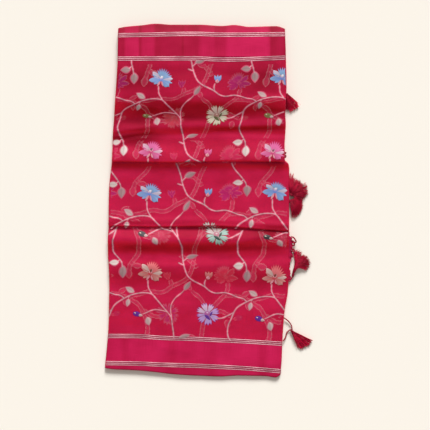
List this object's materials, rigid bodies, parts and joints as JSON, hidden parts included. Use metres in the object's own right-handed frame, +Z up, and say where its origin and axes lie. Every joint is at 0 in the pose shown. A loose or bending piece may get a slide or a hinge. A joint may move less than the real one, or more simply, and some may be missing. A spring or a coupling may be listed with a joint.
{
  "type": "folded saree",
  "caption": "Crimson sheer silk saree folded into a flat packet, with woven flowering vines, satin borders with metallic bands, and silk tassels along one side.",
  "frame": {"origin": "middle of the flat underside, on the surface that the folded saree lies on", "axes": "+Y along the packet to the end with the upper border, +X across it to the side with the tassels, +Z up"},
  "size_m": [0.5586, 0.9527, 0.0326],
  "materials": {
    "sheer_silk": "sheer crimson silk with a fine plain weave and a soft sheen",
    "satin_silk": "rose crimson satin with a silky sheen",
    "silk_thread": "loose deep crimson silk thread",
    "metallic_thread": "silvery metallic thread woven in",
    "motif_silk": "coloured silk and metallic threads woven into flowers, leaves and vines"
  },
  "bodies": {
    "root": {"hidden_layers": "sheer_silk", "upper_border": "satin_silk", "upper_stretch": "sheer_silk", "middle_stretch": "sheer_silk", "lower_stretch": "sheer_silk", "lower_border": "satin_silk", "pallu_end": "sheer_silk", "tassel_1": "silk_thread", "tassel_2": "silk_thread", "tassel_3": "silk_thread", "tassel_4": "silk_thread", "tassel_5": "silk_thread"}
  },
  "joints": []
}
